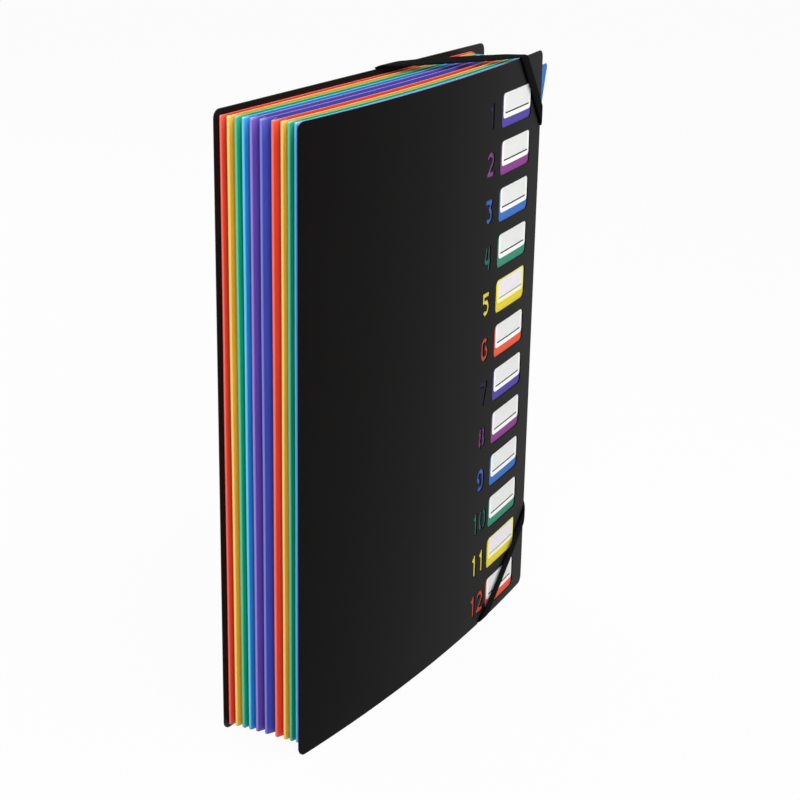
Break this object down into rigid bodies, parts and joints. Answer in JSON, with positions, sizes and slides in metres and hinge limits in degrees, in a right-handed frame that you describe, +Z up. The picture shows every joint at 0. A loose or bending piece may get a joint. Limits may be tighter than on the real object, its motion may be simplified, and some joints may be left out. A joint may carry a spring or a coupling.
{
  "type": "accordion file folder",
  "caption": "Expanding sorter folder: coloured divider leaves on a pleated spine between black covers, with an index window column and elastic corner bands.",
  "frame": {"origin": "middle of the back cover's bottom edge, which the folder stands on", "axes": "+X from the pleated spine to the open fore edge, +Y out of the back cover, +Z up"},
  "size_m": [0.2397, 0.0494, 0.3062],
  "materials": {
    "cover_black": "satin",
    "sheet_blue": "satin",
    "label_paper": "matte",
    "band_elastic": "matte",
    "leaf_indigo": "satin",
    "leaf_purple": "satin",
    "leaf_blue": "satin",
    "leaf_green": "satin",
    "leaf_yellow": "satin",
    "leaf_red": "satin"
  },
  "bodies": {
    "back_cover": {"back_cover": "cover_black", "leaf_12": "leaf_red", "spine_pleat_01": "leaf_indigo", "spine_pleat_02": "leaf_purple", "spine_pleat_03": "leaf_blue", "spine_pleat_04": "leaf_green", "spine_pleat_05": "leaf_yellow", "spine_pleat_06": "leaf_red", "spine_pleat_07": "leaf_indigo", "spine_pleat_08": "leaf_purple", "spine_pleat_09": "leaf_blue", "spine_pleat_10": "leaf_green", "spine_pleat_11": "leaf_yellow", "spine_pleat_12": "leaf_red", "upper_band": "band_elastic", "lower_band": "band_elastic"},
    "spine_flap": {"spine_flap": "leaf_indigo"},
    "front_cover": {"front_cover": "cover_black", "index_sheet": "sheet_blue", "index_tab_01": "leaf_indigo", "index_tab_02": "leaf_purple", "index_tab_03": "leaf_blue", "index_tab_04": "leaf_green", "index_tab_05": "leaf_yellow", "index_tab_06": "leaf_red", "index_tab_07": "leaf_indigo", "index_tab_08": "leaf_purple", "index_tab_09": "leaf_blue", "index_tab_10": "leaf_green", "index_tab_11": "leaf_yellow", "index_tab_12": "leaf_red", "label_01": "label_paper", "label_02": "label_paper", "label_03": "label_paper", "label_04": "label_paper", "label_05": "label_paper", "label_06": "label_paper", "label_07": "label_paper", "label_08": "label_paper", "label_09": "label_paper", "label_10": "label_paper", "label_11": "label_paper", "label_12": "label_paper"},
    "leaf_01": {"leaf_01": "leaf_indigo"},
    "leaf_02": {"leaf_02": "leaf_purple"},
    "leaf_03": {"leaf_03": "leaf_blue"},
    "leaf_04": {"leaf_04": "leaf_green"},
    "leaf_05": {"leaf_05": "leaf_yellow"},
    "leaf_06": {"leaf_06": "leaf_red"},
    "leaf_07": {"leaf_07": "leaf_indigo"},
    "leaf_08": {"leaf_08": "leaf_purple"},
    "leaf_09": {"leaf_09": "leaf_blue"},
    "leaf_10": {"leaf_10": "leaf_green"},
    "leaf_11": {"leaf_11": "leaf_yellow"}
  },
  "joints": [
    {"name": "collapse", "type": "slide", "parent": "back_cover", "child": "spine_flap", "axis": [0, 1, 0], "range_m": [0, 0.018], "deforming": ["spine_pleat_01", "spine_pleat_02", "spine_pleat_03", "spine_pleat_04", "spine_pleat_05", "spine_pleat_06", "spine_pleat_07", "spine_pleat_08", "spine_pleat_09", "spine_pleat_10", "spine_pleat_11", "spine_pleat_12", "upper_band", "lower_band"]},
    {"name": "cover_open", "type": "hinge", "parent": "spine_flap", "child": "front_cover", "pos_m": [-0.115, -0.0447, 0], "axis": [0, 0, -1], "range_deg": [0, 175], "deforming": ["upper_band", "lower_band"]},
    {"name": "leaf_01_slide", "type": "slide", "parent": "back_cover", "child": "leaf_01", "axis": [0, 1, 0], "range_m": [0, 0.01718]},
    {"name": "leaf_02_slide", "type": "slide", "parent": "back_cover", "child": "leaf_02", "axis": [0, 1, 0], "range_m": [0, 0.01655]},
    {"name": "leaf_03_slide", "type": "slide", "parent": "back_cover", "child": "leaf_03", "axis": [0, 1, 0], "range_m": [0, 0.01592]},
    {"name": "leaf_04_slide", "type": "slide", "parent": "back_cover", "child": "leaf_04", "axis": [0, 1, 0], "range_m": [0, 0.01452]},
    {"name": "leaf_05_slide", "type": "slide", "parent": "back_cover", "child": "leaf_05", "axis": [0, 1, 0], "range_m": [0, 0.01311]},
    {"name": "leaf_06_slide", "type": "slide", "parent": "back_cover", "child": "leaf_06", "axis": [0, 1, 0], "range_m": [0, 0.01113]},
    {"name": "leaf_07_slide", "type": "slide", "parent": "back_cover", "child": "leaf_07", "axis": [0, 1, 0], "range_m": [0, 0.00865]},
    {"name": "leaf_08_slide", "type": "slide", "parent": "back_cover", "child": "leaf_08", "axis": [0, 1, 0], "range_m": [0, 0.00651]},
    {"name": "leaf_09_slide", "type": "slide", "parent": "back_cover", "child": "leaf_09", "axis": [0, 1, 0], "range_m": [0, 0.00483]},
    {"name": "leaf_10_slide", "type": "slide", "parent": "back_cover", "child": "leaf_10", "axis": [0, 1, 0], "range_m": [0, 0.00326]},
    {"name": "leaf_11_slide", "type": "slide", "parent": "back_cover", "child": "leaf_11", "axis": [0, 1, 0], "range_m": [0, 0.0016]}
  ],
  "couplings": [
    {"joint": "leaf_01_slide", "follows": "collapse", "ratio": 0.9359},
    {"joint": "leaf_02_slide", "follows": "collapse", "ratio": 0.9016},
    {"joint": "leaf_03_slide", "follows": "collapse", "ratio": 0.8673},
    {"joint": "leaf_04_slide", "follows": "collapse", "ratio": 0.7906},
    {"joint": "leaf_05_slide", "follows": "collapse", "ratio": 0.714},
    {"joint": "leaf_06_slide", "follows": "collapse", "ratio": 0.6064},
    {"joint": "leaf_07_slide", "follows": "collapse", "ratio": 0.4714},
    {"joint": "leaf_08_slide", "follows": "collapse", "ratio": 0.3547},
    {"joint": "leaf_09_slide", "follows": "collapse", "ratio": 0.2632},
    {"joint": "leaf_10_slide", "follows": "collapse", "ratio": 0.1773},
    {"joint": "leaf_11_slide", "follows": "collapse", "ratio": 0.087}
  ]
}
